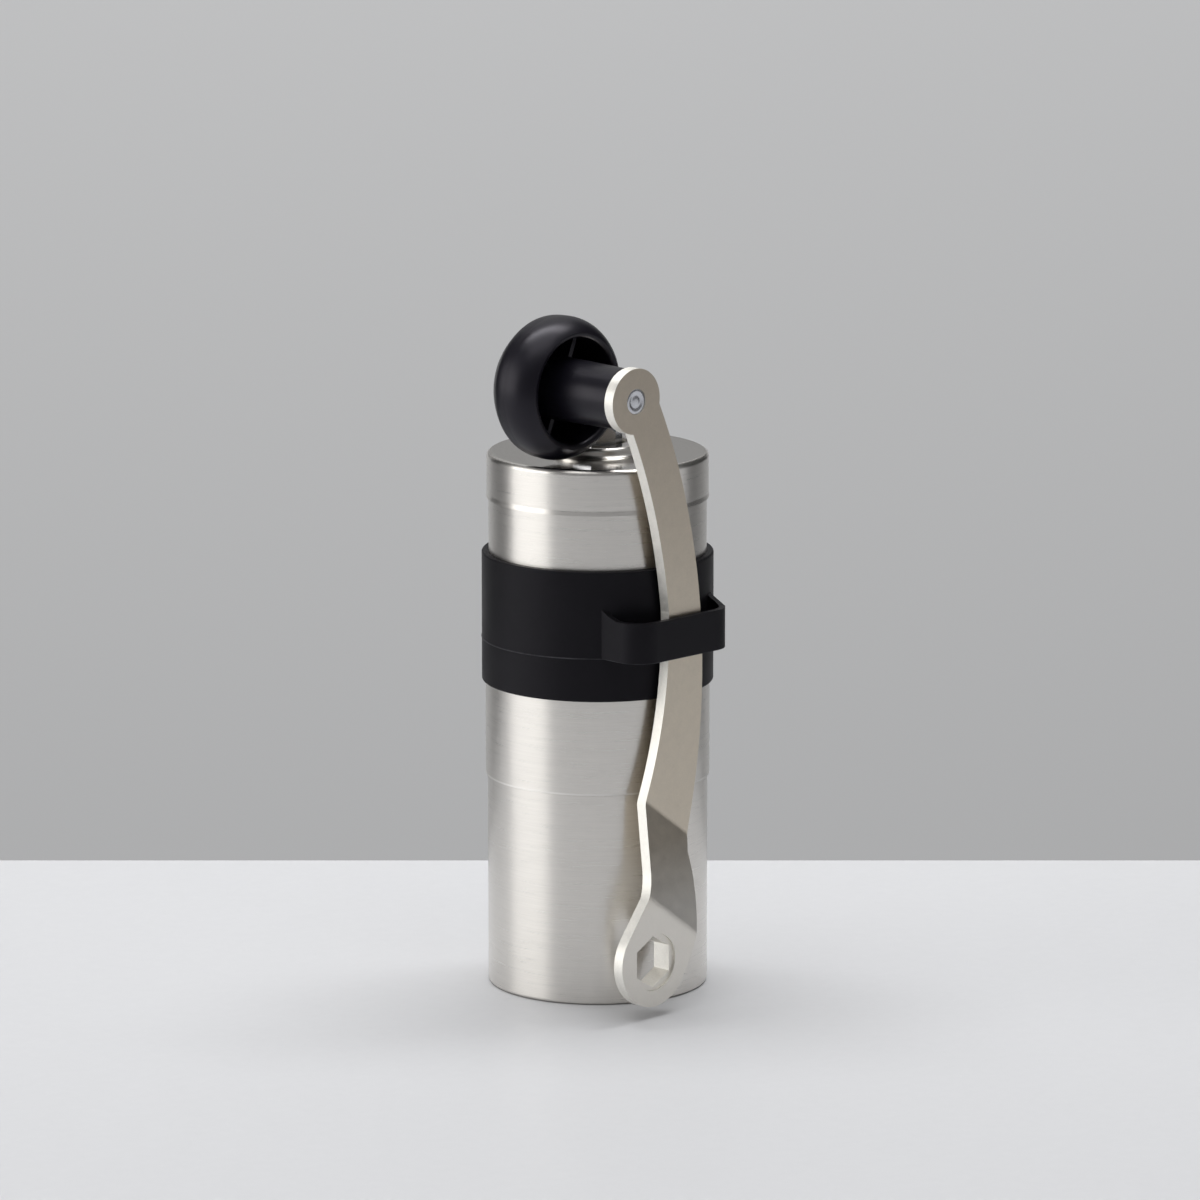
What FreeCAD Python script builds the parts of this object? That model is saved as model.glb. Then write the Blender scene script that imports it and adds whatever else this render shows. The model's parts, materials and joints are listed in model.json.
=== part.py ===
import FreeCAD, Part
import math
import os

# Hand crank coffee grinder, packed for carrying: the crank hangs in the loop of a silicone band.
# Millimetres. The origin is the centre of the base, +Z is up, and the crank is on the -Y side.

# ---- catch cup and body tube ----
tube_r = 23.5           # outside radius of the steel body tube
sheet = 0.7             # sheet thickness of the tube and the cup
cup_h = 44.8            # base to the seam between cup and tube
cup_inset = 0.42        # the cup is this much smaller in radius than the tube
cup_floor = 0.8
cup_foot_round = 0.8
cup_neck_len = 13.2     # the part of the cup that slides up inside the tube
cup_fit = 0.08
seam_gap = 0.15
tube_len = 66.45        # seam to the tube's upper rim
neck_inset = 0.68       # the neck is this much smaller in radius than the tube
mouth_inset = 0.34      # and the mouth inside the cap is smaller again

# ---- cap ----
cap_sheet = 0.6
cap_overhang = 0.38     # cap outside radius over the neck's
cap_skirt = 9.55
cap_round = 1.1
cap_flare = 0.12
cap_flare_h = 1.0
skirt_gap = 0.1
boss_r = 9.5
boss_h = 2.0
boss_round = 0.8
rim_drop = 1.6          # the tube's rim stops this far under the cap's flat
liner_fit = 0.15
liner_depth = 8.0
liner_wall = 2.2
liner_web = 1.4
seat_gap = 0.05         # between the liner's flange and the tube's rim
liner_round = 0.4
bush_flange = 1.5
bush_flange_w = 2.0
hex_play = 0.28         # room round the hexagon's corners in the lid bush

# ---- drive shaft ----
hex_af = 9.2            # across flats of the driving hexagon
hex_len = 11.8
hex_proud = 3.7         # the hexagon stands this far above the cap's boss
rod_r = 3.0
flat_half = 2.4         # half the distance between the two driving flats
hex_point_h = 1.2       # the cone ground on the hexagon's end
hex_point_in = 0.8
shaft_fit = 0.06
clip_groove = 0.5
over = 1.0              # a cutting shape reaches this far past what it cuts

# ---- bearing and burrs ----
housing_gap = 1.7       # from the cup's rim up to the burr housing
frame_fit = 0.02        # pressed frames inside the tube
spider_h = 5.8
spider_rim = 2.6
spoke_w = 4.6
spoke_drop = 1.0        # the spokes stay this far under the rim ring's top
spoke_bite = 0.5        # a spoke reaches this far into the hub
spoke_count = 3
spider_hub_r = 7.0
spider_hub_h = 15.0
bush_r = 5.0
housing_h = 14.0
ring_burr_r = 18.0
ring_burr_h = 10.9
ledge_w = 1.5
retainer_h = 1.5
retainer_w = 2.3
notch_half = 1.2
notch_h = 0.8
notch_depth = 1.0
burr_fit = 0.05
cone_r = 14.0
cone_land = 2.5
cone_h = 10.8
cone_top_r = 8.5
grind_gap = 0.5
ring_top_r = 17.0
carrier_r = 6.0
carrier_h = 8.4
carrier_flange_r = 11.0
carrier_flange = 1.5
cone_above_base = 0.2   # the cone's lower edge above the ring burr's
coarse_teeth = 10
tooth_half = 0.8
tooth_depth = 0.9
tooth_height = 1.3
tooth_twist = 18        # degrees from the burr's axis
ring_tooth_half = 0.9
ring_tooth_len = 12.0
ring_tooth_twist = 25
ring_tooth_rise = 0.5
screw_r = 1.1
screw_head_r = 1.8
screw_head = 1.2
screw_len = 16.0
screw_count = 3
screw_first = 30        # degrees from +X to the first screw
screw_sink_fit = 0.1
screw_slot_half = 0.25
screw_slot_depth = 0.5
screw_circle_inset = 2.2
washer_t = 0.5
washer_inset = 0.5      # the thrust washer is this much smaller in radius than the hub
clip_t = 0.8
clip_w = 1.8
clip_mouth_half = 1.6
spring_wire_r = 0.35
spring_coil_r = 4.5
spring_turns = 2.0
dial_r = 9.5
dial_h = 8.0
dial_gap = 0.05
dial_round = 0.8
dial_room = 0.8         # radial room in the dial round the flats of the shaft
scallop_r = 1.6
scallop_count = 12
nut_af = 8.0
nut_h = 6.0
shaft_below_dial = 3.0

# ---- silicone band ----
band_t = 0.77           # thickness over the tube
band_h = 27.5
band_below_step = 14.5  # its lower edge under the neck's step
band_edge_round = 0.4
loop_h = 8.5
loop_up = 9.2           # the loop's lower edge above the band's
loop_wall = 1.25
loop_half = 14.4
loop_shift = -0.4       # the loop's centre from the crank's centre line
loop_clear = 0.3        # from the crank's outer face to the strap
loop_corner = 5.5
root_flare = 2.0        # the loop's upper edge rises this much where it meets the band
flare_run = 2.2         # length of that rise over its height
flare_hollow = (0.9, 0.45)  # its middle point, outward and up, over its height
mould_line = 0.12

# ---- crank ----
arm_t = 2.4
arm_clear = 0.33        # from the band to the crank's inner face
arm_bow = 14.0          # sagitta of the arm's curve
arm_outer_w = 5.3       # arm edge outside its centre curve
arm_inner_w = 3.9       # arm edge inside its centre curve
hub_r = 9.5
hub_lift = 2.5          # the hub's lowest point above the base
hub_b = -15.3           # hub centre to the left of the body axis
knob_b = -15.8          # knob axis to the left of the body axis
knob_end_r = 6.85
knob_gap = 0.8          # the knob's lowest point above the cap
hub_offset = 5.0        # the hub's plane outside the arm's
bend_tilt = 36.0        # slope of the two bend lines, degrees
bend_low = 10.97        # lower bend line, measured square to the bend lines from the base centre
bend_gap = 17.8         # between the two bend lines
bend_round = 4.0
flare_top_h = 72.0      # above the hub: where the arm starts to widen
flare_mid_h = 49.4
flare_low_h = 32.0
flare_mid_w = 6.05      # arm edge inside its centre curve, at the middle and the end of the flare
flare_low_w = 8.7
hub_heel = -35          # where the web leaves the hub's circle on the right, degrees
hub_chin = 141          # and on the left
web_left = (0.45, 19.5)     # points of the web's left edge, across and up from the hub's centre
web_left_mid = (-0.3, 16.2)
web_left_low = (-1.9, 13.3)
web_right = (13.9, 20.5)    # points of its right edge
web_right_mid = (13.3, 6.56)
web_top_h = 26.5
socket_wall = 0.67      # round the corners of the socket's hexagon
socket_recess = 0.5
socket_boss = 2.4
socket_flange_w = 1.5
socket_flange = 0.9
socket_play = 0.1
socket_round = 0.5

# ---- knob ----
knob_r = 15.0
knob_axis_len = 20.9    # arm's inner face to the widest part of the head
dome_h = 10.6
lip_h = 6.4             # widest part to the open rim
lip_r = 12.2
hollow_r = 11.0
hollow_depth = 11.6
stem_tip_r = 6.3
stem_root_r = 6.8
rib_count = 6
rib_t = 1.0
rib_first = 68          # degrees from +X to the first rib
rib_proud = 1.5         # the ribs end this far outside the head's widest part
rib_bite = 0.5          # and reach this far into the stem and the floor
rib_bite_out = 0.8
head_bulge = (0.7, 0.6) # middle of the curve to the lip: inside the widest radius, up the lip's height
lip_round = (0.35, 0.2) # middle of the lip's round: outside the hollow, under the rim
lip_drop = 1.0
hollow_draft = 0.5
hollow_fillet = (2.5, 2.0)  # across and up
hollow_fillet_mid = (1.1, 0.6)
axle_r = 2.0
axle_head_r = 2.65
axle_head_t = 1.1
axle_recess = 0.3
barb_r = 2.9
barb_h = 1.6
barb_room = 0.4
barb_ramp = 0.5
barb_out = 1.0          # the barb's shoulder outside the head's widest part
knob_washer_r = 5.6
knob_play = 0.1

# ---- heights and radii that follow ----
rim_z = cup_h + seam_gap + tube_len
cap_in_z = rim_z + rim_drop
cap_top = cap_in_z + cap_sheet
boss_top = cap_top + boss_h
skirt_z = cap_top - cap_skirt
housing_z = cup_h + cup_neck_len + housing_gap
spider_z = housing_z + housing_h
step_z = spider_z + spider_h
thread_r = flat_half
hex_corner = hex_af / math.sqrt(3)
socket_r = hex_corner + socket_play * 2 / math.sqrt(3) + socket_wall
neck_r = tube_r - neck_inset
cap_r = neck_r + cap_overhang
mouth_r = neck_r - mouth_inset
mouth_z = skirt_z - skirt_gap
tube_in = tube_r - sheet
neck_in = neck_r - sheet
mouth_in = mouth_r - sheet
cup_r = tube_r - cup_inset
cup_neck_r = tube_in - cup_fit
frame_r = tube_in - frame_fit
ring_z = housing_z + retainer_h
cone_z = ring_z + cone_above_base
carrier_z = cone_z - carrier_flange
dial_z = carrier_z - dial_gap - dial_h
hex_top = boss_top + hex_proud
hub_top = spider_z + spider_hub_h
band_z = step_z - band_below_step
band_r = tube_r + band_t
arm_in = band_r + arm_clear
arm_out = arm_in + arm_t
hub_z = hub_r + hub_lift
knob_z = cap_top + knob_gap + knob_r

# The arm's centre curve is a circular arc from the hub's centre to the knob's axis.
throw = knob_z - hub_z
arc_r = ((throw / 2) ** 2 + arm_bow ** 2) / (2 * arm_bow)
arc_z = (knob_z + hub_z) / 2
arc_b = (hub_b + knob_b) / 2 + arm_bow - arc_r


# ---- helpers ----
def flat(x, y):
    return FreeCAD.Vector(x, y, 0)


def upright(r, z):
    return FreeCAD.Vector(r, 0, z)


def outline(points, place):
    """Closed wire through the points. A third number in a point rounds that corner."""
    starts = []
    arcs = []
    for i, point in enumerate(points):
        here = place(point[0], point[1])
        radius = point[2] if len(point) > 2 else 0
        before = place(*points[i - 1][:2])
        after = place(*points[(i + 1) % len(points)][:2])
        back = (before - here).normalize()
        on = (after - here).normalize()
        half = back.getAngle(on) / 2
        if not radius:
            starts.append((here, here))
            arcs.append(None)
            continue
        reach = radius / math.tan(half)
        inward = (back + on).normalize()
        middle = here + inward * (radius / math.sin(half) - radius)
        starts.append((here + back * reach, here + on * reach))
        arcs.append(Part.Arc(here + back * reach, middle, here + on * reach).toShape())
    edges = []
    for i, (into, out) in enumerate(starts):
        if arcs[i]:
            edges.append(arcs[i])
        following = starts[(i + 1) % len(starts)][0]
        if out.distanceToPoint(following) > 1e-6:
            edges.append(Part.makeLine(out, following))
    return Part.Wire(edges)


def turned(points):
    """Solid of revolution about Z from an (r, z) outline."""
    face = Part.Face(outline(points, upright))
    return face.revolve(FreeCAD.Vector(0, 0, 0), FreeCAD.Vector(0, 0, 1), 360)


def tube(outer, inner, z0, z1):
    return turned([(inner, z0), (outer, z0), (outer, z1), (inner, z1)])


def rod(radius, z0, z1, x=0, y=0):
    return Part.makeCylinder(radius, z1 - z0, FreeCAD.Vector(x, y, z0))


def hexagon(across_flats, z0, z1):
    corner = across_flats / math.sqrt(3)
    points = []
    for i in range(6):
        angle = math.radians(60 * i + 30)
        points.append((corner * math.cos(angle), corner * math.sin(angle)))
    prism = Part.Face(outline(points, flat)).extrude(FreeCAD.Vector(0, 0, z1 - z0))
    prism.translate(FreeCAD.Vector(0, 0, z0))
    return prism


def box(x0, x1, y0, y1, z0, z1):
    return Part.makeBox(x1 - x0, y1 - y0, z1 - z0, FreeCAD.Vector(x0, y0, z0))


def around(shape, count, first=0.0):
    """Copies of a shape at even angles about Z."""
    copies = []
    for i in range(count):
        copy = shape.copy()
        copy.rotate(FreeCAD.Vector(0, 0, 0), FreeCAD.Vector(0, 0, 1), first + 360.0 * i / count)
        copies.append(copy)
    return copies


def joined(shapes):
    return shapes[0].multiFuse(shapes[1:]).removeSplitter()


def stood_up(shape):
    """From the crank's drawing plane (across, up, outward) to its place on the -Y side."""
    shape.rotate(FreeCAD.Vector(0, 0, 0), FreeCAD.Vector(1, 0, 0), 90)
    return shape


def on_knob_axis(shape):
    shape.translate(FreeCAD.Vector(knob_b, knob_z, 0))
    return stood_up(shape)


# ---- cup, tube and cap ----
def catch_cup():
    inner = cup_r - sheet
    neck_inner = cup_neck_r - sheet
    top = cup_h + cup_neck_len
    return turned([
        (0, 0), (cup_r, 0, cup_foot_round), (cup_r, cup_h), (cup_neck_r, cup_h), (cup_neck_r, top),
        (neck_inner, top), (neck_inner, cup_h - sheet), (inner, cup_h - 2 * sheet),
        (inner, cup_floor), (0, cup_floor)])


def body_tube():
    low = cup_h + seam_gap
    taper = neck_inset
    return turned([
        (tube_in, low), (tube_r, low), (tube_r, step_z - taper), (neck_r, step_z),
        (neck_r, mouth_z), (mouth_r, mouth_z), (mouth_r, rim_z), (mouth_in, rim_z),
        (mouth_in, mouth_z - sheet), (neck_in, mouth_z - 2 * sheet), (neck_in, step_z), (tube_in, step_z)])


def lid_hole_r():
    return hex_corner + hex_play


def lid_shell():
    skirt_in = cap_r - cap_sheet
    boss_in = boss_r - cap_sheet
    hole = lid_hole_r() + cap_sheet
    return turned([
        (skirt_in, skirt_z), (cap_r + cap_flare, skirt_z), (cap_r, skirt_z + cap_flare_h),
        (cap_r, cap_top, cap_round), (boss_r, cap_top, boss_round), (boss_r, boss_top, boss_round),
        (hole, boss_top), (hole, boss_top - cap_sheet),
        (boss_in, boss_top - cap_sheet, boss_round - cap_sheet),
        (boss_in, cap_in_z), (skirt_in, cap_in_z, cap_round - cap_sheet)])


def lid_liner():
    outer = mouth_in - liner_fit
    flange = cap_r - cap_sheet - frame_fit
    low = cap_in_z - liner_depth
    web = cap_in_z - liner_web
    seat = rim_z + seat_gap
    return turned([
        (outer - liner_wall, low), (outer, low, liner_round), (outer, seat), (flange, seat),
        (flange, cap_in_z, cap_round - cap_sheet), (boss_r, cap_in_z), (boss_r, web),
        (outer - liner_wall, web)])


def lid_bush():
    outer = boss_r - cap_sheet - frame_fit
    web = cap_in_z - liner_web
    top = boss_top - cap_sheet - boss_round
    hole = lid_hole_r()
    return turned([
        (hole, web - bush_flange), (outer + bush_flange_w, web - bush_flange), (outer + bush_flange_w, web),
        (outer, web), (outer, top), (hole, top)])


# ---- silicone band ----
def arm_edge_b(offset, z):
    """Across position of a curve parallel to the arm's centre curve, at a height."""
    return arc_b + math.sqrt((arc_r + offset) ** 2 - (z - arc_z) ** 2)


def band_loop():
    low = band_z + loop_up
    high = low + loop_h
    centre = arm_edge_b(0, (low + high) / 2) + loop_shift
    left = centre - loop_half
    right = centre + loop_half
    inner = arm_out + loop_clear
    outer = inner + loop_wall
    deep = tube_r + band_t / 2
    ring = [(left, 0), (left, -outer, loop_corner), (right, -outer, loop_corner), (right, 0),
            (right - loop_wall, 0), (right - loop_wall, -inner, loop_corner - loop_wall),
            (left + loop_wall, -inner, loop_corner - loop_wall), (left + loop_wall, 0)]
    strap = Part.Face(outline(ring, flat)).extrude(FreeCAD.Vector(0, 0, loop_h + root_flare))
    strap.translate(FreeCAD.Vector(0, 0, low))
    strap = strap.cut(rod(deep, low - over, high + root_flare + over))
    # The upper edge falls from the band to the strap in a hollow curve.
    for side, wall_b in ((left, left), (centre, right)):
        root = math.sqrt(band_r ** 2 - wall_b ** 2)
        end = root + flare_run * root_flare
        start = FreeCAD.Vector(side, -root, high + root_flare)
        finish = FreeCAD.Vector(side, -end, high)
        past = FreeCAD.Vector(side, -outer - over, high)
        above = FreeCAD.Vector(side, -outer - over, high + root_flare + over)
        back = FreeCAD.Vector(side, -root, high + root_flare + over)
        out, up = flare_hollow
        hollow = FreeCAD.Vector(side, -root - out * root_flare, high + up * root_flare)
        curve = Part.Arc(start, hollow, finish).toShape()
        wire = Part.Wire([curve, Part.makeLine(finish, past), Part.makeLine(past, above),
                          Part.makeLine(above, back), Part.makeLine(back, start)])
        strap = strap.cut(Part.Face(wire).extrude(FreeCAD.Vector(loop_half, 0, 0)))
    return strap


def silicone_band():
    top = band_z + band_h
    line_z = band_z + loop_up
    band = turned([
        (tube_r, band_z), (band_r, band_z, band_edge_round), (band_r, line_z - mould_line),
        (band_r + mould_line, line_z), (band_r, line_z + mould_line),
        (band_r, top, band_edge_round), (neck_r, top), (neck_r, step_z),
        (tube_r, step_z - neck_inset)])
    return joined([band, band_loop()])


# ---- bearing, housing and burrs ----
def bearing_spider():
    top = spider_z + spider_h
    half = spoke_w / 2
    spoke = box(spider_hub_r - spoke_bite, frame_r - spider_rim / 2, -half, half,
                spider_z, top - spoke_drop)
    rim = tube(frame_r, frame_r - spider_rim, spider_z, top)
    hub = tube(spider_hub_r, bush_r, spider_z, hub_top)
    spider = joined([rim, hub] + around(spoke, spoke_count, 90))
    for pilot in screws_of(screw_r, housing_z, housing_z + screw_head + screw_len):
        spider = spider.cut(pilot)
    return spider


def screws_of(radius, z0, z1):
    circle = frame_r - screw_circle_inset
    return around(rod(radius, z0, z1, x=circle), screw_count, screw_first)


def upper_bush():
    return tube(bush_r, rod_r + shaft_fit, spider_z, hub_top)


def burr_housing():
    ring_top = ring_z + ring_burr_h
    bore = ring_burr_r + burr_fit
    housing = turned([
        (bore, housing_z), (frame_r, housing_z), (frame_r, spider_z), (bore - ledge_w, spider_z),
        (bore - ledge_w, ring_top), (bore, ring_top)])
    for hole in screws_of(screw_r, housing_z, spider_z):
        housing = housing.cut(hole)
    for sink in screws_of(screw_head_r + screw_sink_fit, housing_z, housing_z + screw_head):
        housing = housing.cut(sink)
    return housing


def housing_screws():
    head_top = housing_z + screw_head
    heads = screws_of(screw_head_r, housing_z, head_top)
    shanks = screws_of(screw_r, head_top, head_top + screw_len)
    slot = box(-screw_head_r, screw_head_r, -screw_slot_half, screw_slot_half,
               housing_z, housing_z + screw_slot_depth)
    screws = []
    for head, shank in zip(heads, shanks):
        cut = slot.copy()
        cut.translate(FreeCAD.Vector(head.CenterOfMass.x, head.CenterOfMass.y, 0))
        screws.append(head.fuse(shank).cut(cut))
    return Part.makeCompound(screws)


def retaining_ring():
    ring = tube(ring_burr_r, ring_burr_r - retainer_w, housing_z, ring_z)
    notch = box(ring_burr_r - notch_depth, ring_burr_r + over, -notch_half, notch_half,
                housing_z - over, housing_z + notch_h)
    for cut in around(notch, screw_count, screw_first + 180 / screw_count):
        ring = ring.cut(cut)
    return ring


def ring_burr():
    top = ring_z + ring_burr_h
    land = cone_r + grind_gap
    burr = turned([(land, ring_z), (ring_burr_r, ring_z), (ring_burr_r, top), (ring_top_r, top),
                   (land, ring_z + cone_land)])
    half = ring_tooth_half
    flute = box(0, ring_top_r + ring_tooth_rise, -half, half, -ring_tooth_len / 2, ring_tooth_len / 2)
    flute.rotate(FreeCAD.Vector(ring_top_r, 0, 0), FreeCAD.Vector(1, 0, 0), ring_tooth_twist)
    flute.translate(FreeCAD.Vector(0, 0, top + ring_tooth_rise))
    for cut in around(flute, coarse_teeth * 2):
        burr = burr.cut(cut)
    return burr


def cone_burr():
    top = cone_z + cone_h
    burr = turned([(carrier_r, cone_z), (cone_r, cone_z), (cone_r, cone_z + cone_land),
                   (cone_top_r, top), (carrier_r, top)])
    lean = math.degrees(math.atan2(cone_r - cone_top_r, cone_h - cone_land))
    flute = box(-tooth_depth, tooth_height, -tooth_half, tooth_half, 0, cone_h + 2 * over)
    flute.rotate(FreeCAD.Vector(0, 0, 0), FreeCAD.Vector(1, 0, 0), tooth_twist)
    flute.rotate(FreeCAD.Vector(0, 0, 0), FreeCAD.Vector(0, 1, 0), -lean)
    flute.translate(FreeCAD.Vector(cone_r, 0, cone_z + cone_land))
    for cut in around(flute, coarse_teeth):
        burr = burr.cut(cut)
    return burr


def flatted(radius, half, z0, z1):
    """Round bar with two flats."""
    return rod(radius, z0, z1).common(box(-half, half, -radius, radius, z0, z1))


def burr_carrier():
    sleeve = joined([rod(carrier_r, cone_z, cone_z + carrier_h), rod(carrier_flange_r, carrier_z, cone_z)])
    return sleeve.cut(flatted(rod_r + shaft_fit, flat_half + shaft_fit, carrier_z, cone_z + carrier_h))


def adjuster_dial():
    top = dial_z + dial_h
    dial = turned([(0, dial_z), (dial_r, dial_z, dial_round), (dial_r, top), (0, top)])
    dial = dial.cut(hexagon(nut_af, dial_z, dial_z + nut_h))
    dial = dial.cut(rod(thread_r + dial_room, dial_z, top))
    scallop = rod(scallop_r, dial_z, top, x=dial_r + scallop_r / 2)
    for cut in around(scallop, scallop_count):
        dial = dial.cut(cut)
    return dial


def adjuster_nut():
    return hexagon(nut_af, dial_z, dial_z + nut_h).cut(rod(thread_r + shaft_fit, dial_z, dial_z + nut_h))


# ---- drive shaft and what turns on it ----
def drive_shaft():
    flats_top = cone_z + cone_h
    hex_low = hex_top - hex_len
    point = turned([(0, hex_low), (hex_corner, hex_low), (hex_corner, hex_top - hex_point_h),
                    (hex_corner - hex_point_in, hex_top), (0, hex_top)])
    head = hexagon(hex_af, hex_low, hex_top).common(point)
    shaft = joined([
        rod(thread_r, dial_z - shaft_below_dial, carrier_z), flatted(rod_r, flat_half, carrier_z, flats_top),
        rod(rod_r, flats_top, hex_low), head])
    groove = tube(rod_r + over, rod_r - clip_groove, hub_top + washer_t, hub_top + washer_t + clip_t)
    return shaft.cut(groove)


def thrust_washer():
    return tube(spider_hub_r - washer_inset, rod_r + shaft_fit, hub_top, hub_top + washer_t)


def shaft_clip():
    z0 = hub_top + washer_t
    clip = tube(rod_r + clip_w, rod_r - clip_groove, z0, z0 + clip_t)
    return clip.cut(box(0, rod_r + clip_w, -clip_mouth_half, clip_mouth_half, z0, z0 + clip_t))


def spring_washer():
    return tube(carrier_r, rod_r + shaft_fit, spider_z - washer_t, spider_z)


def burr_spring():
    low = cone_z + carrier_h + spring_wire_r
    high = spider_z - washer_t - spring_wire_r
    helix = Part.makeHelix((high - low) / spring_turns, high - low, spring_coil_r)
    helix.translate(FreeCAD.Vector(0, 0, low))
    section = Part.Wire([Part.makeCircle(
        spring_wire_r, FreeCAD.Vector(spring_coil_r, 0, low), FreeCAD.Vector(0, 1, 0))])
    return Part.Wire(helix).makePipeShell([section], True, True)


# ---- crank: drawn across, up and outward, then stood up on the -Y side ----
def arm_point(offset, height):
    z = hub_z + height
    return FreeCAD.Vector(arm_edge_b(offset, z), z, 0)


def from_hub(across_up):
    return FreeCAD.Vector(hub_b + across_up[0], hub_z + across_up[1], 0)


def on_hub_rim(degrees):
    angle = math.radians(degrees)
    return from_hub((hub_r * math.cos(angle), hub_r * math.sin(angle)))


def flat_outline():
    """Arm, web, hub and knob end as seen square to the crank."""
    centre = from_hub((0, 0))
    right_low = on_hub_rim(hub_heel)
    right_high = from_hub(web_right)
    left_low = on_hub_rim(hub_chin)
    left_turn = from_hub(web_left_low)
    left_high = from_hub(web_left)
    edge_low = arm_point(arm_outer_w, web_top_h)
    edge_top = arm_point(arm_outer_w, throw)
    inner_top = arm_point(-arm_inner_w, throw)
    flare_top = arm_point(-arm_inner_w, flare_top_h)
    flare_low = arm_point(-flare_low_w, flare_low_h)
    edges = [
        Part.makeLine(centre, right_low),
        Part.Arc(right_low, from_hub(web_right_mid), right_high).toShape(),
        Part.makeLine(right_high, edge_low),
        Part.Arc(edge_low, arm_point(arm_outer_w, throw / 2), edge_top).toShape(),
        Part.makeLine(edge_top, inner_top),
        Part.Arc(inner_top, arm_point(-arm_inner_w, (throw + flare_top_h) / 2), flare_top).toShape(),
        Part.Arc(flare_top, arm_point(-flare_mid_w, flare_mid_h), flare_low).toShape(),
        Part.makeLine(flare_low, left_high),
        Part.Arc(left_high, from_hub(web_left_mid), left_turn).toShape(),
        Part.makeLine(left_turn, left_low),
        Part.makeLine(left_low, centre)]
    return Part.Face(Part.Wire(edges))


def bent_sheet():
    """Plate with two parallel bends that carry the hub's plane outside the arm's."""
    reach = 2 * throw
    slant = math.atan2(hub_offset, bend_gap)
    back = arm_t * math.tan(slant / 2)
    low = bend_low
    high = bend_low + bend_gap
    hub_out = arm_out + hub_offset
    tight = bend_round - arm_t / 2
    wide = bend_round + arm_t / 2
    profile = [
        (-reach, hub_out), (low, hub_out, wide), (high, arm_out, tight), (reach, arm_out),
        (reach, arm_in), (high - back, arm_in, wide), (low - back, hub_out - arm_t, tight),
        (-reach, hub_out - arm_t)]
    sheet_face = Part.Face(outline(profile, lambda up, out: FreeCAD.Vector(0, up, out)))
    plate = sheet_face.extrude(FreeCAD.Vector(2 * reach, 0, 0))
    plate.translate(FreeCAD.Vector(-reach, 0, 0))
    plate.rotate(FreeCAD.Vector(0, 0, 0), FreeCAD.Vector(0, 0, 1), -bend_tilt)
    return plate


def crank_arm():
    inside = arm_in - arm_t
    thick = arm_out + hub_offset + arm_t - inside
    web = flat_outline().extrude(FreeCAD.Vector(0, 0, thick))
    web.translate(FreeCAD.Vector(0, 0, inside))
    hub = rod(hub_r, inside, inside + thick, x=hub_b, y=hub_z)
    end = rod(knob_end_r, inside, inside + thick, x=knob_b, y=knob_z)
    arm = joined([web, hub, end]).common(bent_sheet())
    arm = arm.cut(rod(socket_r, inside, inside + thick, x=hub_b, y=hub_z))
    head = axle_blank()
    head.translate(FreeCAD.Vector(knob_b, knob_z, 0))
    return stood_up(arm.cut(head))


def hex_socket():
    hub_in = arm_out + hub_offset - arm_t
    inner = hub_in - socket_boss
    outer = arm_out + hub_offset - socket_recess
    flange_r = socket_r + socket_flange_w
    insert = turned([
        (0, inner), (socket_r, inner, socket_round), (socket_r, hub_in - socket_flange),
        (flange_r, hub_in - socket_flange), (flange_r, hub_in), (socket_r, hub_in),
        (socket_r, outer), (0, outer)])
    insert = insert.cut(hexagon(hex_af + 2 * socket_play, inner, outer))
    insert.translate(FreeCAD.Vector(hub_b, hub_z, 0))
    return stood_up(insert)


# ---- knob and its axle ----
def axle_blank():
    """Countersunk axle; its head lies just under the arm's outer face."""
    head_top = arm_out - axle_recess
    shoulder = knob_mid() + barb_out
    return turned([
        (0, shoulder - barb_h), (axle_r, shoulder - barb_h), (barb_r, shoulder - barb_ramp),
        (barb_r, shoulder), (axle_r, shoulder), (axle_r, head_top - axle_head_t),
        (axle_head_r, head_top - axle_head_t / 2), (axle_head_r, arm_out + over), (0, arm_out + over)])


def knob_mid():
    return arm_in - knob_axis_len


def knob_axle():
    head_top = arm_out - axle_recess
    axle = axle_blank().cut(rod(2 * axle_head_r, head_top, arm_out + 2 * over))
    return on_knob_axis(axle)


def knob_washer():
    return on_knob_axis(tube(knob_washer_r, axle_r + shaft_fit, arm_in - washer_t, arm_in))


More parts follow.
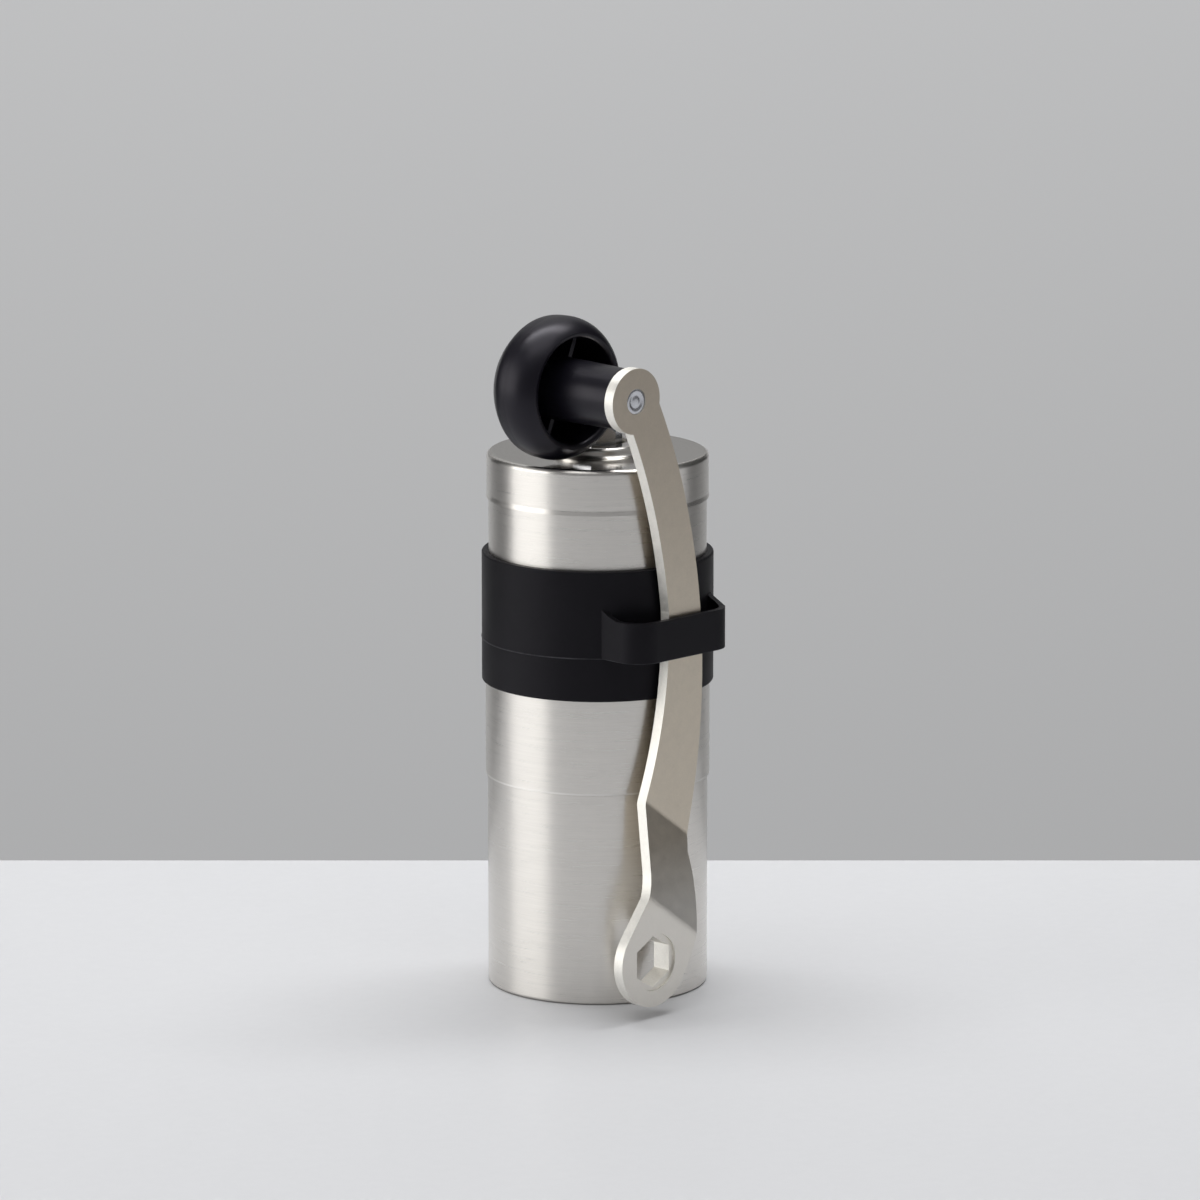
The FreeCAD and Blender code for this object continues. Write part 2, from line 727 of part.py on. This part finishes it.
def knob():
    mid = knob_mid()
    tip = arm_in - washer_t - knob_play
    rim = mid + lip_h
    floor = rim - hollow_depth
    bore = axle_r + shaft_fit
    pocket_out = mid + barb_out + barb_room / 2
    pocket_in = mid + barb_out - barb_h - barb_room
    pocket_r = barb_r + barb_room
    equator = upright(knob_r, mid)
    rim_out = upright(lip_r, rim)
    rim_in = upright(hollow_r, rim - lip_drop)
    wall_low = upright(hollow_r - hollow_draft, floor + hollow_fillet[1])
    wall_mid = upright(hollow_r - hollow_fillet_mid[0], floor + hollow_fillet_mid[1])
    quarter = [math.radians(22.5 * i) for i in range(5)]
    dome = Part.BSplineCurve()
    dome.interpolate(
        Points=[upright(knob_r * math.sin(t), mid - dome_h * math.cos(t)) for t in quarter],
        InitialTangent=upright(1, 0), FinalTangent=upright(0, 1))
    inside = [
        upright(hollow_r - hollow_fillet[0], floor), upright(stem_root_r, floor), upright(stem_tip_r, tip),
        upright(bore, tip), upright(bore, pocket_out), upright(pocket_r, pocket_out),
        upright(pocket_r, pocket_in), upright(0, pocket_in), upright(0, mid - dome_h)]
    edges = [
        dome.toShape(),
        Part.Arc(equator, upright(knob_r - head_bulge[0], mid + head_bulge[1] * lip_h), rim_out).toShape(),
        Part.Arc(rim_out, upright(hollow_r + lip_round[0], rim - lip_round[1]), rim_in).toShape(),
        Part.makeLine(rim_in, wall_low),
        Part.Arc(wall_low, wall_mid, inside[0]).toShape()]
    for here, after in zip(inside, inside[1:]):
        edges.append(Part.makeLine(here, after))
    section = Part.Face(Part.Wire(Part.sortEdges(edges)[0]))
    head = section.revolve(FreeCAD.Vector(0, 0, 0), FreeCAD.Vector(0, 0, 1), 360)
    rib = box(stem_tip_r - rib_bite, hollow_r + rib_bite_out, -rib_t / 2, rib_t / 2,
              floor - rib_bite, mid + rib_proud)
    return on_knob_axis(joined([head] + around(rib, rib_count, rib_first)))


parts = {
    "catch_cup": catch_cup(),
    "body_tube": body_tube(),
    "silicone_band": silicone_band(),
    "bearing_spider": bearing_spider(),
    "upper_bush": upper_bush(),
    "burr_housing": burr_housing(),
    "housing_screws": housing_screws(),
    "retaining_ring": retaining_ring(),
    "ring_burr": ring_burr(),
    "cone_burr": cone_burr(),
    "burr_carrier": burr_carrier(),
    "adjuster_dial": adjuster_dial(),
    "adjuster_nut": adjuster_nut(),
    "drive_shaft": drive_shaft(),
    "thrust_washer": thrust_washer(),
    "shaft_clip": shaft_clip(),
    "spring_washer": spring_washer(),
    "burr_spring": burr_spring(),
    "lid_shell": lid_shell(),
    "lid_liner": lid_liner(),
    "lid_bush": lid_bush(),
    "crank_arm": crank_arm(),
    "hex_socket": hex_socket(),
    "knob_axle": knob_axle(),
    "knob_washer": knob_washer(),
    "knob": knob(),
}

os.makedirs("parts", exist_ok=True)
for name, shape in parts.items():
    shape.exportStep("parts/" + name + ".step")
print("crank draw axis at across %.3f, up %.3f; radius %.3f" % (arc_b, arc_z, arc_r))
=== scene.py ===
import bpy
import json
import math
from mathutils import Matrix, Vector


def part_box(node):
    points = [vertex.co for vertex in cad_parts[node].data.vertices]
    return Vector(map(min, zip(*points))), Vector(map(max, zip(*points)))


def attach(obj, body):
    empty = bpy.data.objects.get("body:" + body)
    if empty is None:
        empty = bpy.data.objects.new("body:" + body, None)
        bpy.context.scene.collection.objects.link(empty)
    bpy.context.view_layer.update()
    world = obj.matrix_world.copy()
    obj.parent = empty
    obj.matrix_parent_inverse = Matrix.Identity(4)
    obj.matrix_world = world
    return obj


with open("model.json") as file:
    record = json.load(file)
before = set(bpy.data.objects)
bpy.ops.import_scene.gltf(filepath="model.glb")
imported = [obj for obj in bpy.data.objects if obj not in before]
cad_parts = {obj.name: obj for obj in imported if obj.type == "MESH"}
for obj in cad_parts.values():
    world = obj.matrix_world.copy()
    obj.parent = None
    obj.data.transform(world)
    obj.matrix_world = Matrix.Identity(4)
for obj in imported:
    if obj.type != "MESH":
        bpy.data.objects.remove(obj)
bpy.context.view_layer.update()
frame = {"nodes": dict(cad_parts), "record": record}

MM = 0.001

# ---- camera: a long lens, with the crank's side turned 45 degrees to the right ----
CAMERA_AZIMUTH = math.radians(-45)
CAMERA_ELEVATION = math.radians(11.886)
CAMERA_DISTANCE = 1.6622
CAMERA_AIM_HEIGHT = 0.0816
CAMERA_AIM_RIGHT = 0.0005
CAMERA_LENS = 238.1

right = Vector((math.cos(CAMERA_AZIMUTH), math.sin(CAMERA_AZIMUTH), 0))
toward = Vector((math.sin(CAMERA_AZIMUTH), -math.cos(CAMERA_AZIMUTH), 0))


def place(across, near, up):
    """Point given to the right, towards the camera and up, seen from the camera."""
    return right * across + toward * near + Vector((0, 0, up))


def aimed(obj, target):
    obj.rotation_euler = (target - obj.location).to_track_quat("-Z", "Y").to_euler()


def make_camera():
    data = bpy.data.cameras.new("camera")
    data.lens = CAMERA_LENS
    data.sensor_width = 36
    data.clip_start = 0.05
    data.clip_end = 30
    camera = bpy.data.objects.new("camera", data)
    bpy.context.scene.collection.objects.link(camera)
    aim = place(CAMERA_AIM_RIGHT, 0, CAMERA_AIM_HEIGHT)
    camera.location = aim + place(
        0, CAMERA_DISTANCE * math.cos(CAMERA_ELEVATION), CAMERA_DISTANCE * math.sin(CAMERA_ELEVATION))
    aimed(camera, aim)
    bpy.context.scene.camera = camera


# ---- materials ----
# pale colour painted along the tube's lower rim: a painted highlight
TUBE_RIM_HIGHLIGHT_COLOR = (0.96, 0.945, 0.92)
# lighter colour painted on the band's mould line: a painted highlight on its ridge
MOULD_LINE_HIGHLIGHT_COLOR = (0.05, 0.05, 0.055)


class Look:
    """A principled material and short calls to build its nodes."""

    def __init__(self, name, color, metallic=0.0, roughness=0.5, **uniform):
        self.material = bpy.data.materials.new(name)
        self.material.use_nodes = True
        self.tree = self.material.node_tree
        self.shader = next(n for n in self.tree.nodes if n.type == "BSDF_PRINCIPLED")
        self.shader.inputs["Base Color"].default_value = (*color, 1)
        self.shader.inputs["Metallic"].default_value = metallic
        self.shader.inputs["Roughness"].default_value = roughness
        for socket, value in uniform.items():
            self.shader.inputs[socket.replace("_", " ")].default_value = value
        self.coords = self.tree.nodes.new("ShaderNodeTexCoord").outputs["Object"]

    def link(self, source, target):
        self.tree.links.new(source, target)

    def facing(self, axis):
        """How squarely a face looks along an axis, 0 to 1."""
        split = self.tree.nodes.new("ShaderNodeSeparateXYZ")
        self.link(self.tree.nodes.new("ShaderNodeNewGeometry").outputs["True Normal"], split.inputs[0])
        return self.math("ABSOLUTE", split.outputs[axis])

    def up(self):
        """Height in the row frame at rest."""
        split = self.tree.nodes.new("ShaderNodeSeparateXYZ")
        self.link(self.coords, split.inputs[0])
        return split.outputs["Z"]

    def mixed(self, factor, first, second):
        """From first to second by factor; each is a colour or a socket."""
        node = self.tree.nodes.new("ShaderNodeMix")
        node.data_type = "RGBA"
        self.link(factor, node.inputs["Factor"])
        for socket, value in zip((node.inputs["A"], node.inputs["B"]), (first, second)):
            if isinstance(value, tuple):
                socket.default_value = (*value, 1)
            else:
                self.link(value, socket)
        return node.outputs["Result"]

    def math(self, operation, first, second=0.0, third=None):
        node = self.tree.nodes.new("ShaderNodeMath")
        node.operation = operation
        for socket, value in zip(node.inputs, (first, second, third)):
            if value is None:
                continue
            if isinstance(value, (int, float)):
                socket.default_value = value
            else:
                self.link(value, socket)
        return node.outputs[0]

    def scaled(self, vector, x, y, z):
        node = self.tree.nodes.new("ShaderNodeVectorMath")
        node.operation = "MULTIPLY"
        self.link(vector, node.inputs[0])
        node.inputs[1].default_value = (x, y, z)
        return node.outputs[0]

    def noise(self, vector, scale=1.0, detail=2.0, roughness=0.5):
        node = self.tree.nodes.new("ShaderNodeTexNoise")
        self.link(vector, node.inputs["Vector"])
        node.inputs["Scale"].default_value = scale
        node.inputs["Detail"].default_value = detail
        node.inputs["Roughness"].default_value = roughness
        return node.outputs["Fac"]

    def spread(self, value, low, high, start=0.3, end=0.7):
        """Maps value from start..end to low..high."""
        node = self.tree.nodes.new("ShaderNodeMapRange")
        self.link(value, node.inputs["Value"])
        for name, number in (("From Min", start), ("From Max", end), ("To Min", low), ("To Max", high)):
            node.inputs[name].default_value = number
        return node.outputs["Result"]

    def rough(self, value):
        self.link(value, self.shader.inputs["Roughness"])

    def bump(self, height, distance, strength=1.0):
        node = self.tree.nodes.new("ShaderNodeBump")
        node.inputs["Distance"].default_value = distance
        node.inputs["Strength"].default_value = strength
        self.link(height, node.inputs["Height"])
        self.link(node.outputs["Normal"], self.shader.inputs["Normal"])


def times(color, factor):
    """The colour made darker or lighter, no lighter than white."""
    return tuple(min(c * factor, 1) for c in color)


def brushed_round(name, color, rim_highlight_z, roughness=0.3):
    """Sheet metal brushed round the Z axis: fine rings on the walls and flat top, and a pale painted
    highlight along the tube's lower rim at the height given.
    """
    look = Look(name, color, metallic=1.0, roughness=roughness, Anisotropic=0.72, Anisotropic_Rotation=0.25)
    split = look.tree.nodes.new("ShaderNodeSeparateXYZ")
    look.link(look.coords, split.inputs[0])
    x, y, z = split.outputs
    radius = look.math("SQRT", look.math("ADD", look.math("MULTIPLY", x, x), look.math("MULTIPLY", y, y)))
    across = look.math("ADD", z, radius)
    lines = look.tree.nodes.new("ShaderNodeCombineXYZ")
    look.link(x, lines.inputs[0])
    look.link(y, lines.inputs[1])
    look.link(look.math("MULTIPLY", across, 100.0), lines.inputs[2])
    fine = look.noise(look.scaled(lines.outputs[0], 110, 110, 110), 1.0, 3.0, 0.6)
    broad = look.noise(look.scaled(lines.outputs[0], 45, 45, 14), 1.0, 2.0, 0.5)
    both = look.math("ADD", look.math("MULTIPLY", fine, 0.65), look.math("MULTIPLY", broad, 0.35))
    plain = look.mixed(look.spread(both, 0.0, 1.0), times(color, 0.92), times(color, 1.045))
    # painted highlight: a pale, rougher line along the tube's lower rim
    off_rim_highlight = look.math("ABSOLUTE", look.math("SUBTRACT", z, rim_highlight_z))
    on_rim_highlight = look.spread(off_rim_highlight, 1.0, 0.0, 0.12 * MM, 0.28 * MM)
    look.link(look.mixed(on_rim_highlight, plain, TUBE_RIM_HIGHLIGHT_COLOR), look.shader.inputs["Base Color"])
    flat_top = look.spread(look.facing("Z"), 1.0, 0.26, 0.8, 0.98)
    brushed = look.math("MULTIPLY", look.spread(both, roughness - 0.05, roughness + 0.07), flat_top)
    look.rough(look.math("ADD", brushed, look.math("MULTIPLY", on_rim_highlight, 0.35)))
    look.bump(both, 0.02 * MM, 0.28)
    tangent = look.tree.nodes.new("ShaderNodeTangent")
    tangent.direction_type = "RADIAL"
    tangent.axis = "Z"
    look.link(tangent.outputs[0], look.shader.inputs["Tangent"])
    return look.material


def satin_nickel(name, color, top, painted_highlight, cut_edge_and_highlight, roughness=0.36):
    """Plated pressing: mottled faces, painted shade darker towards the knob, a painted highlight paler at the
    hub, and pale sheared edges, partly bare metal and partly a painted highlight.
    """
    look = Look(name, color, metallic=1.0, roughness=roughness)
    mottle = look.noise(look.coords, 420, 4.0, 0.6)
    grain = look.noise(look.coords, 3200, 2.0, 0.6)
    both = look.math("ADD", look.math("MULTIPLY", mottle, 0.6), look.math("MULTIPLY", grain, 0.4))
    tone = look.spread(both, 0.0, 1.0)
    plain = look.mixed(tone, times(color, 0.92), times(color, 1.06))
    # painted shade: the upper arm, towards the knob, darker than the rest
    shaded_top = look.mixed(tone, times(top, 0.92), times(top, 1.06))
    plated = look.mixed(look.spread(look.up(), 0.0, 1.0, 0.08, 0.122), plain, shaded_top)
    # painted highlight: the face paler towards the hub at the bottom
    hub = look.mixed(tone, times(painted_highlight, 0.94), painted_highlight)
    face = look.mixed(look.spread(look.up(), 1.0, 0.0, 0.022, 0.036), plated, hub)
    on_edge = look.spread(look.facing("Y"), 1.0, 0.0, 0.25, 0.6)
    # the edges' pale colour: partly bare metal, partly a painted highlight
    edge = look.mixed(tone, times(cut_edge_and_highlight, 0.86), cut_edge_and_highlight)
    look.link(look.mixed(on_edge, face, edge), look.shader.inputs["Base Color"])
    fine = look.spread(both, roughness - 0.05, roughness + 0.08)
    look.rough(look.math("ADD", fine, look.math("MULTIPLY", on_edge, 0.14)))
    tear_depth = look.math("MULTIPLY", on_edge, 3.0)
    torn = look.math("MULTIPLY", look.noise(look.coords, 1100, 3.0, 0.65), tear_depth)
    look.bump(look.math("ADD", both, torn), 0.03 * MM, 0.6)
    return look.material


def moulded(name, color, roughness, grain_size, depth, line_z=None, **uniform):
    """Moulded rubber or plastic with a fine eroded texture, and a painted highlight along the mould line if
    its height is given.
    """
    look = Look(name, color, roughness=roughness, **uniform)
    grain = look.noise(look.coords, 1 / grain_size, 3.0, 0.6)
    cloud = look.noise(look.coords, 90, 2.0, 0.5)
    plain = look.mixed(look.spread(cloud, 0.0, 1.0), times(color, 0.85), times(color, 1.2))
    if line_z is not None:
        # painted highlight: a lighter line along the mould line's ridge, broken up by noise
        away = look.math("ABSOLUTE", look.math("SUBTRACT", look.up(), line_z))
        painted_highlight = look.spread(look.noise(look.coords, 160, 3.0, 0.6), 0.25, 1.0, 0.35, 0.6)
        on_line_highlight = look.math("MULTIPLY", look.spread(away, 1.0, 0.0, 0.04 * MM, 0.2 * MM), painted_highlight)
        plain = look.mixed(on_line_highlight, plain, MOULD_LINE_HIGHLIGHT_COLOR)
    look.link(plain, look.shader.inputs["Base Color"])
    look.rough(look.spread(cloud, roughness - 0.04, roughness + 0.05))
    look.bump(grain, depth, 0.7)
    return look.material


def turned_metal(name, color, roughness=0.19):
    """Bright metal from the lathe, with a fine even grain."""
    look = Look(name, color, metallic=1.0, roughness=roughness)
    grain = look.noise(look.coords, 2400, 3.0, 0.6)
    tone = look.mixed(look.spread(grain, 0.0, 1.0), times(color, 0.88), color)
    look.link(tone, look.shader.inputs["Base Color"])
    look.rough(look.spread(grain, roughness - 0.04, roughness + 0.06))
    look.bump(grain, 0.01 * MM, 0.25)
    return look.material


MOULD_LINE_UP = 9.2 * MM      # band's lower edge to its mould line
TUBE_RIM_HIGHLIGHT_UP = 0.2 * MM        # tube's lower edge to the middle of its painted rim highlight
MOULD_LINE_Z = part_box("silicone_band")[0].z + MOULD_LINE_UP
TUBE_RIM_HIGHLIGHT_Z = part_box("body_tube")[0].z + TUBE_RIM_HIGHLIGHT_UP


def make_looks():
    return {
        "brushed_steel_body": brushed_round("brushed_steel_body", (0.775, 0.75, 0.71), TUBE_RIM_HIGHLIGHT_Z),
        "black_silicone": moulded(
            "black_silicone", (0.0046, 0.0044, 0.0056), 0.45, 0.28 * MM, 0.02 * MM, MOULD_LINE_Z,
            Specular_IOR_Level=0.17, Specular_Tint=(0.93, 0.9, 1.0, 1.0)),
        "frame_plastic": moulded("frame_plastic", (0.03, 0.03, 0.033), 0.42, 0.3 * MM, 0.02 * MM),
        "liner_plastic": moulded("liner_plastic", (0.035, 0.035, 0.038), 0.38, 0.3 * MM, 0.02 * MM),
        "bush_plastic": moulded("bush_plastic", (0.72, 0.7, 0.64), 0.35, 0.4 * MM, 0.01 * MM),
        "burr_ceramic": moulded("burr_ceramic", (0.8, 0.77, 0.7), 0.5, 0.2 * MM, 0.02 * MM),
        "bright_steel": turned_metal("bright_steel", (0.62, 0.63, 0.66)),
        "nut_brass": turned_metal("nut_brass", (0.72, 0.52, 0.22)),
        # crank: plate colour, painted shade towards the knob, painted highlight at the hub, and pale edges,
        # partly a painted highlight
        "nickel_crank": satin_nickel(
            "nickel_crank", (0.6, 0.54, 0.45), (0.525, 0.465, 0.385), (0.78, 0.75, 0.695),
            (0.96, 0.94, 0.885)),
        "knob_plastic": moulded(
            "knob_plastic", (0.0046, 0.0042, 0.0072), 0.35, 0.22 * MM, 0.012 * MM, Specular_IOR_Level=0.31,
            Specular_Tint=(0.93, 0.89, 1.0, 1.0)),
    }


# ---- the object's pieces ----
EDGE_ROUNDS = {  # bevel widths in millimetres
    "crank_arm": 0.16, "hex_socket": 0.1, "knob_axle": 0.12, "silicone_band": 0.32, "knob": 0.3,
    "lid_shell": 0.12, "body_tube": 0.28, "catch_cup": 0.14, "adjuster_dial": 0.25}


def round_edges(obj, width):
    """Breaks the sharp edges, as tumbling and moulding do."""
    bevel = obj.modifiers.new("edge_round", "BEVEL")
    bevel.width = width
    bevel.segments = 3
    bevel.limit_method = "ANGLE"
    bevel.angle_limit = math.radians(38)
    bevel.use_clamp_overlap = True
    bevel.harden_normals = True


def finish_cad_nodes(looks):
    slots = {row["node"]: row["material_slot"] for row in frame["record"]["subparts"]}
    for name, obj in frame["nodes"].items():
        obj.data.materials.clear()
        obj.data.materials.append(looks[slots[name]])
        if name in EDGE_ROUNDS:
            round_edges(obj, EDGE_ROUNDS[name] * MM)


def lathe(name, profile, centre, material, body, steps=64):
    """Turned piece about an axis along Y: the profile is (radius, y) pairs."""
    vertices = []
    faces = []
    for i in range(steps):
        turn = 2 * math.pi * i / steps
        for radius, y in profile:
            vertices.append((centre.x + radius * math.cos(turn), y, centre.z + radius * math.sin(turn)))
    rows = len(profile)
    for i in range(steps):
        after = (i + 1) % steps
        for j in range(rows - 1):
            faces.append((i * rows + j, i * rows + j + 1, after * rows + j + 1, after * rows + j))
    mesh = bpy.data.meshes.new(name)
    mesh.from_pydata(vertices, [], faces)
    mesh.validate()
    mesh.materials.append(material)
    for polygon in mesh.polygons:
        polygon.use_smooth = True
    obj = bpy.data.objects.new(name, mesh)
    bpy.context.scene.collection.objects.link(obj)
    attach(obj, body)
    return obj


# radius and height over the seat, in millimetres: rim, ring, groove, dome
RIVET_PROFILE = [(2.62, 0.02), (2.6, 0.16), (2.35, 0.25), (1.95, 0.26), (1.6, 0.16), (1.25, 0.12),
                 (0.9, 0.2), (0.5, 0.235), (0.001, 0.24)]


def make_rivet_head(looks):
    """Turned ring and dome on the axle's end, in its shallow seat in the crank."""
    low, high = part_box("knob_axle")
    centre = Vector(((low[0] + high[0]) / 2, 0, (low[2] + high[2]) / 2))
    seat = low[1]
    points = [(r * MM, seat - out * MM) for r, out in RIVET_PROFILE]
    lathe("axle_head", points, centre, looks["bright_steel"], "crank")


# ---- table, backdrop and light ----
TABLE_BACK = 0.104      # object's axis to the table's far edge
TABLE_SIZE = 3.0
WALL_BACK = 1.6
WALL_HALF = 4.0
WALL_LOW = -2.0
WALL_HIGH = 3.0


def slab(name, corners, material):
    mesh = bpy.data.meshes.new(name)
    mesh.from_pydata(corners, [], [(0, 1, 2, 3)])
    mesh.materials.append(material)
    obj = bpy.data.objects.new(name, mesh)
    bpy.context.scene.collection.objects.link(obj)
    return obj


def flag(name, azimuth, distance, width, low, high, material):
    """Upright card beside or behind the object: only its reflection is seen."""
    turn = math.radians(azimuth)
    middle = Vector((math.sin(turn), math.cos(turn))) * distance
    along = Vector((math.cos(turn), -math.sin(turn))) * width / 2
    ends = [middle - along, middle + along]
    edges = ((ends[0], low), (ends[1], low), (ends[1], high), (ends[0], high))
    corners = [place(end.x, end.y, z) for end, z in edges]
    card = slab(name, corners, material)
    card.visible_camera = False
    card.visible_diffuse = False
    card.visible_shadow = False


def painted(name, color, roughness):
    """Matt paint or card, a little uneven in its shine."""
    look = Look(name, color, roughness=roughness)
    grain = look.noise(look.coords, 300, 3.0, 0.6)
    look.rough(look.spread(grain, roughness - 0.05, roughness + 0.05))
    return look.material


def make_stage():
    half = TABLE_SIZE / 2
    slab("table", [place(-half, -TABLE_BACK, 0), place(-half, TABLE_SIZE, 0),
                   place(half, TABLE_SIZE, 0), place(half, -TABLE_BACK, 0)],
         painted("table_top", (0.6, 0.605, 0.62), 0.5))
    slab("wall", [place(-WALL_HALF, -WALL_BACK, WALL_LOW), place(WALL_HALF, -WALL_BACK, WALL_LOW),
                  place(WALL_HALF, -WALL_BACK, WALL_HIGH), place(-WALL_HALF, -WALL_BACK, WALL_HIGH)],
         painted("wall_paint", (0.69, 0.695, 0.7), 0.9))
    black = painted("black_card", (0.015, 0.015, 0.015), 0.9)
    flag("card_left", -131, 0.9, 0.36, 0.0, 1.2, black)
    flag("card_right", 128, 0.9, 0.95, 0.0, 1.2, black)
    grey = painted("grey_card", (0.3, 0.3, 0.3), 0.9)
    flag("card_back", 180, 1.3, 2.4, 0.16, 1.5, grey)


def area_light(name, place_at, aim, width, height, power, color=(1, 1, 1)):
    data = bpy.data.lights.new(name, "AREA")
    data.shape = "RECTANGLE"
    data.size = width
    data.size_y = height
    data.energy = power
    data.color = color
    light = bpy.data.objects.new(name, data)
    light.location = place_at
    bpy.context.scene.collection.objects.link(light)
    aimed(light, aim)


def make_lights():
    """Window on the left, a ceiling light, a wash on the wall, and a dim room."""
    middle = place(0, 0, 0.07)
    area_light("window", place(-1.49, 0.38, 0.42), middle, 1.36, 0.95, 8.9, (1.0, 0.99, 0.97))
    area_light("overhead", place(0.0, 0.3, 1.7), middle, 1.6, 1.6, 13.6)
    area_light("wall_wash", place(0, -0.5, 1.9), place(0, -WALL_BACK, 0.2), 2.2, 0.6, 39)
    world = bpy.data.worlds.new("room")
    world.use_nodes = True
    background = next(n for n in world.node_tree.nodes if n.type == "BACKGROUND")
    background.inputs["Color"].default_value = (0.5, 0.5, 0.51, 1)
    background.inputs["Strength"].default_value = 0.4
    bpy.context.scene.world = world


make_camera()
looks = make_looks()
finish_cad_nodes(looks)
make_rivet_head(looks)
make_stage()
make_lights()
bpy.context.scene.view_settings.view_transform = "Standard"
